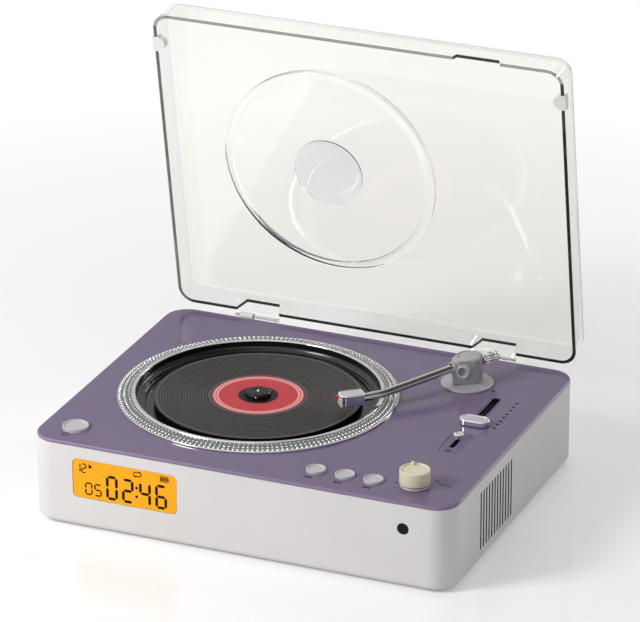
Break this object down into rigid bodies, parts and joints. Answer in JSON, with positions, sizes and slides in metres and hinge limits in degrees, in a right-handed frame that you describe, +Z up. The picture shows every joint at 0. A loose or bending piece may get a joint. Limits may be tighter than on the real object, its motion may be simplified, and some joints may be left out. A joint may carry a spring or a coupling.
{
  "type": "portable cd player",
  "caption": "Turntable-look portable disc player: low case with sunken disc well, swivelling tonearm, sliding and turning controls, and a clear hinged lid.",
  "frame": {"origin": "middle of the whole model's footprint at floor level, with the lid open as pictured; the case's own centre lies 10.06 mm in front of it", "axes": "+X to the user's right along the long side of the case, +Y to the back where the lid is hinged, +Z up"},
  "size_m": [0.255, 0.2206, 0.2504],
  "materials": {
    "case_grey": "warm light grey plastic with a fine speckle",
    "deck_lilac": "glossy grey lilac plastic",
    "black_gloss": "glossy black plastic",
    "black_matt": "matt black plastic",
    "chrome": "polished bright metal",
    "steel": "plain steel",
    "disc_dark": "dark printed disc with fine grooves",
    "arm_grey": "pale grey satin plastic",
    "button_grey": "light grey satin plastic",
    "knob_cream": "cream satin plastic",
    "tip_red": "red plastic",
    "amber": "amber display pane",
    "clear": "clear acrylic",
    "clear_lilac": "clear acrylic with a lilac tint",
    "rubber": "soft grey rubber",
    "board_green": "green circuit board",
    "battery_blue": "shrink-wrapped cells",
    "gear_white": "white moulded nylon",
    "paper_black": "black paper cone on a dark frame"
  },
  "bodies": {
    "case": {"lower_case": "case_grey", "deck_panel": "deck_lilac", "platter_ring": "chrome", "disc_well": "black_gloss", "spindle_motor": "steel", "mechanism_chassis": "black_matt", "guide_rod_front": "steel", "guide_rod_back": "steel", "sled_motor": "steel", "tonearm_base": "arm_grey", "key_board": "board_green", "power_key_board": "board_green", "volume_encoder": "black_matt", "slider_fader": "black_matt", "mode_plate": "deck_lilac", "mode_switch_body": "black_matt", "display_window": "amber", "display_module": "black_matt", "receiver_window": "black_gloss", "infrared_receiver": "black_matt", "speaker_left": "paper_black", "speaker_right": "paper_black", "main_board": "board_green", "battery_pack": "battery_blue", "usb_a_socket": "steel", "usb_c_socket": "steel", "audio_jack": "black_matt", "foot_back_right": "rubber", "foot_back_left": "rubber", "foot_front_left": "rubber", "foot_front_right": "rubber", "hinge_pin_left": "steel", "hinge_pin_right": "steel", "hinge_bracket_left": "case_grey", "hinge_bracket_right": "case_grey"},
    "lid": {"lid_shell": "clear", "lid_centre_disc": "clear_lilac", "hinge_leaf_left": "clear", "hinge_leaf_right": "clear", "lid_bumper_left": "rubber", "lid_bumper_right": "rubber"},
    "turntable": {"compact_disc": "disc_dark", "spindle_hub": "black_matt"},
    "tonearm": {"tonearm_head": "arm_grey", "tonearm_cap": "arm_grey", "tonearm_tube": "chrome", "tonearm_counterweight": "chrome", "headshell_body": "deck_lilac", "headshell_cap": "button_grey", "stylus_tip": "tip_red"},
    "volume_control": {"volume_knob": "knob_cream", "volume_knob_skirt": "button_grey"},
    "speed_slider": {"slider_knob": "button_grey"},
    "mode_switch": {"mode_switch_knob": "button_grey"},
    "previous_key": {"button_previous": "button_grey"},
    "play_key": {"button_play": "button_grey"},
    "next_key": {"button_next": "button_grey"},
    "power_key": {"button_power": "button_grey"},
    "pickup": {"pickup_sled": "black_matt"},
    "pinion": {"drive_gear": "gear_white"}
  },
  "joints": [
    {"name": "lid_hinge", "type": "hinge", "parent": "case", "child": "lid", "pos_m": [0, 0.09244, 0.0529], "axis": [1, 0, 0], "range_deg": [0, 80.1]},
    {"name": "disc_spin", "type": "hinge", "parent": "case", "child": "turntable", "pos_m": [-0.0305, -0.00946, 0.0512], "axis": [0, 0, 1], "continuous": true},
    {"name": "tonearm_swing", "type": "hinge", "parent": "case", "child": "tonearm", "pos_m": [0.0742, 0.05154, 0.0527], "axis": [0, 0, 1], "range_deg": [-12, 30]},
    {"name": "volume_turn", "type": "hinge", "parent": "case", "child": "volume_control", "pos_m": [0.0975, -0.08856, 0.0527], "axis": [0, 0, 1], "range_deg": [-172, 128]},
    {"name": "speed_slide", "type": "slide", "parent": "case", "child": "speed_slider", "axis": [0, 1, 0], "range_m": [0, 0.035]},
    {"name": "mode_slide", "type": "slide", "parent": "case", "child": "mode_switch", "axis": [0, -1, 0], "range_m": [0, 0.01]},
    {"name": "previous_press", "type": "slide", "parent": "case", "child": "previous_key", "axis": [0, 0, -1], "range_m": [0, 0.0008], "stiffness_N_per_m": 400, "springref_m": -0.0005},
    {"name": "play_press", "type": "slide", "parent": "case", "child": "play_key", "axis": [0, 0, -1], "range_m": [0, 0.0008], "stiffness_N_per_m": 400, "springref_m": -0.0005},
    {"name": "next_press", "type": "slide", "parent": "case", "child": "next_key", "axis": [0, 0, -1], "range_m": [0, 0.0008], "stiffness_N_per_m": 400, "springref_m": -0.0005},
    {"name": "power_press", "type": "slide", "parent": "case", "child": "power_key", "axis": [0, 0, -1], "range_m": [0, 0.0008], "stiffness_N_per_m": 400, "springref_m": -0.0005},
    {"name": "pickup_slide", "type": "slide", "parent": "case", "child": "pickup", "axis": [-1, 0, 0], "range_m": [0, 0.03]},
    {"name": "pinion_spin", "type": "hinge", "parent": "case", "child": "pinion", "pos_m": [-0.071, 0.01524, 0.03595], "axis": [0, 0, 1], "range_deg": [-344, 0]}
  ],
  "couplings": [
    {"joint": "pinion_spin", "follows": "pickup_slide", "rad_per_m": -200}
  ]
}
